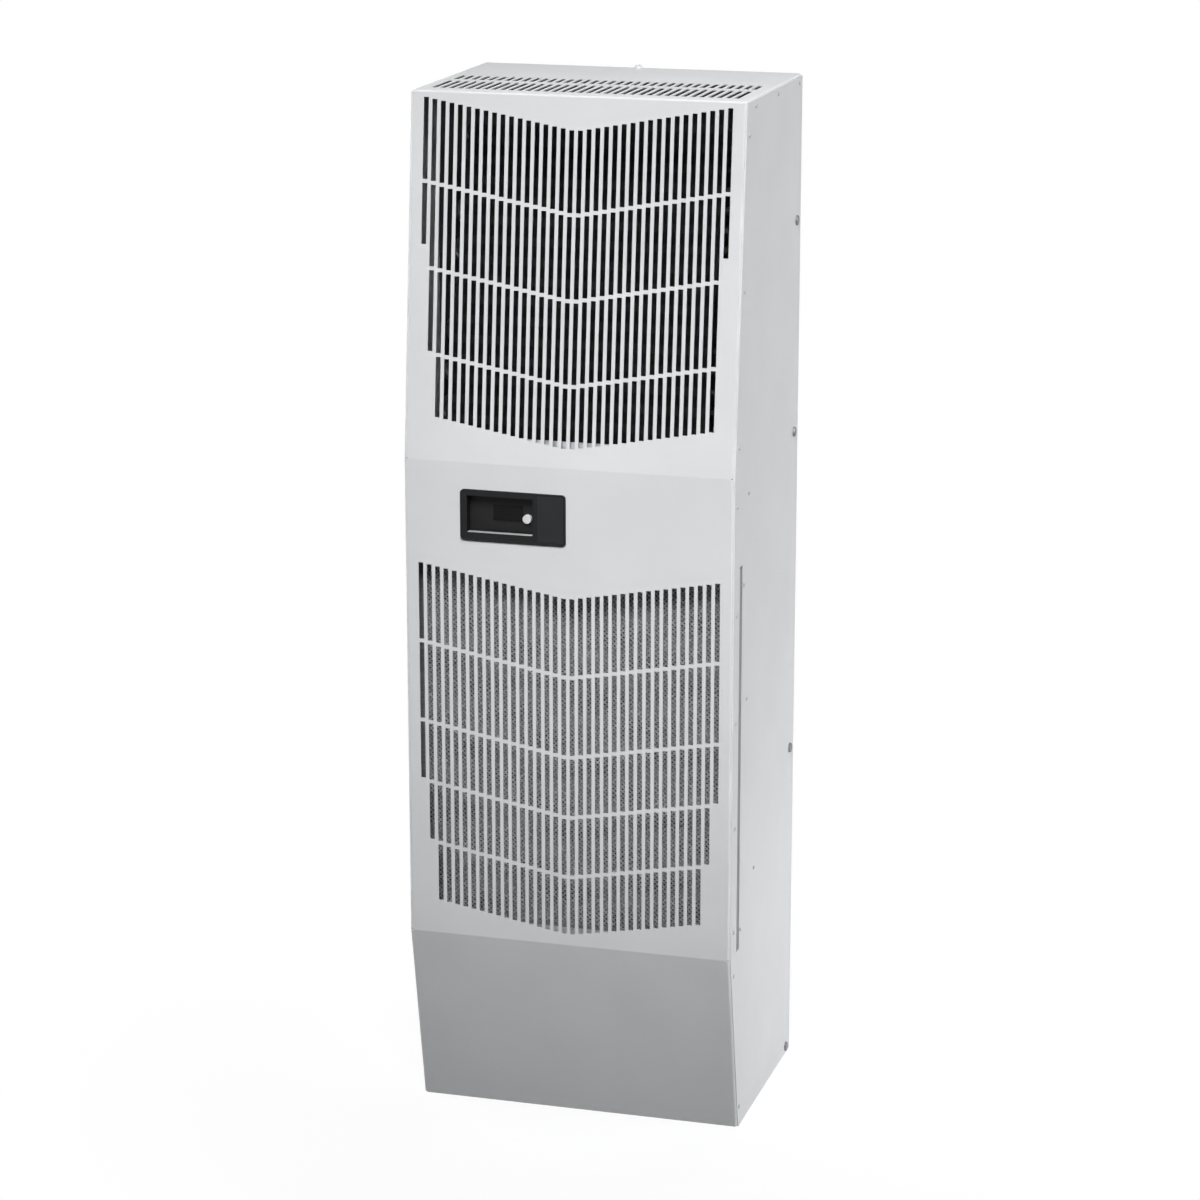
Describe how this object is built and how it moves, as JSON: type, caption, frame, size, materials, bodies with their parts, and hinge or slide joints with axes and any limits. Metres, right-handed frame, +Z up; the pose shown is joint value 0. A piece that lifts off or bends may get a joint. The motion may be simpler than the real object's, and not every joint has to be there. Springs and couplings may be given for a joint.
{
  "type": "enclosure air conditioner",
  "caption": "Tall side-mount enclosure air conditioner with a folded cover, chevron slot grilles, slide-out air filter, recessed controller with push button and rear air openings.",
  "frame": {"origin": "bottom centre of the unit's bounding box", "axes": "+Z up, +Y out of the rear mounting face, +X to the side with the filter slot"},
  "size_m": [0.4308, 0.342, 1.3295],
  "materials": {
    "cabinet_paint": "fine textured light grey powder coat",
    "zinc_dark": "dark zinc",
    "plug_plastic": "smooth white",
    "galvanised": "spangled zinc sheet",
    "insert_steel": "bright zinc",
    "gasket_foam": "closed cell foam",
    "black_rubber": "matte rubber",
    "filter_aluminium": "satin",
    "filter_mesh": "knitted wire mesh",
    "bezel_plastic": "fine grain black",
    "plate_plastic": "satin black",
    "display_plastic": "smoked gloss",
    "button_plastic": "white",
    "case_plastic": "black",
    "capacitor_can": "drawn can",
    "wheel_steel": "galvanised",
    "motor_paint": "black enamel",
    "condenser_fin": "black coated fins",
    "evaporator_fin": "bare fins",
    "coated_copper": "black coated copper bends",
    "copper": "drawn copper",
    "valve_brass": "turned brass",
    "impeller_plastic": "glass filled black",
    "coated_plate": "black coated sheet",
    "compressor_paint": "black enamel",
    "drain_plastic": "translucent grey"
  },
  "bodies": {
    "cabinet": {"front_cover": "cabinet_paint", "left_side_panel": "cabinet_paint", "right_side_panel": "cabinet_paint", "cover_bolts": "zinc_dark", "top_plug": "plug_plastic", "back_panel": "galvanised", "base_pan": "galvanised", "partition": "galvanised", "fan_deck": "galvanised", "filter_guide_bottom": "galvanised", "filter_guide_top": "galvanised", "blower_scroll": "galvanised", "motor_bracket": "galvanised", "evaporator_end_plates": "galvanised", "control_box": "galvanised", "control_box_cover": "galvanised", "return_guard": "galvanised", "evaporator_inlet_ring": "galvanised", "condensate_pan": "galvanised", "compressor_foot": "galvanised", "mounting_inserts": "insert_steel", "compressor_studs": "insert_steel", "mounting_gasket": "gasket_foam", "partition_foam": "gasket_foam", "power_entry_grommet": "black_rubber", "compressor_grommets": "black_rubber", "controller_bezel": "bezel_plastic", "bezel_plate": "plate_plastic", "display_window": "display_plastic", "controller_case": "case_plastic", "terminal_cover": "case_plastic", "terminal_block": "case_plastic", "contactor": "case_plastic", "run_capacitor": "capacitor_can", "blower_motor": "motor_paint", "evaporator_motor": "motor_paint", "condenser_fins": "condenser_fin", "evaporator_fins": "evaporator_fin", "condenser_return_bends": "coated_copper", "evaporator_return_bends": "copper", "discharge_line": "copper", "liquid_line": "copper", "drier_line": "copper", "suction_line": "copper", "filter_drier": "copper", "expansion_valve": "valve_brass", "condenser_end_plates": "coated_plate", "compressor_shell": "compressor_paint", "accumulator": "compressor_paint", "drain_tube": "drain_plastic"},
    "filter": {"filter_frame": "filter_aluminium", "filter_mesh": "filter_mesh"},
    "condenser_fan": {"blower_wheel": "wheel_steel", "blower_shaft": "insert_steel"},
    "evaporator_fan": {"evaporator_impeller": "impeller_plastic"},
    "button": {"push_button": "button_plastic"}
  },
  "joints": [
    {"name": "filter_slide", "type": "slide", "parent": "cabinet", "child": "filter", "axis": [1, 0, 0], "range_m": [0, 0.42]},
    {"name": "condenser_fan_spin", "type": "hinge", "parent": "cabinet", "child": "condenser_fan", "pos_m": [0, -0.027, 0.76], "axis": [1, 0, 0], "continuous": true},
    {"name": "evaporator_fan_spin", "type": "hinge", "parent": "cabinet", "child": "evaporator_fan", "pos_m": [0, 0.078, 1.15], "axis": [0, 1, 0], "continuous": true},
    {"name": "button_press", "type": "slide", "parent": "cabinet", "child": "button", "axis": [0, 1, 0], "range_m": [0, 0.0012], "stiffness_N_per_m": 800}
  ]
}
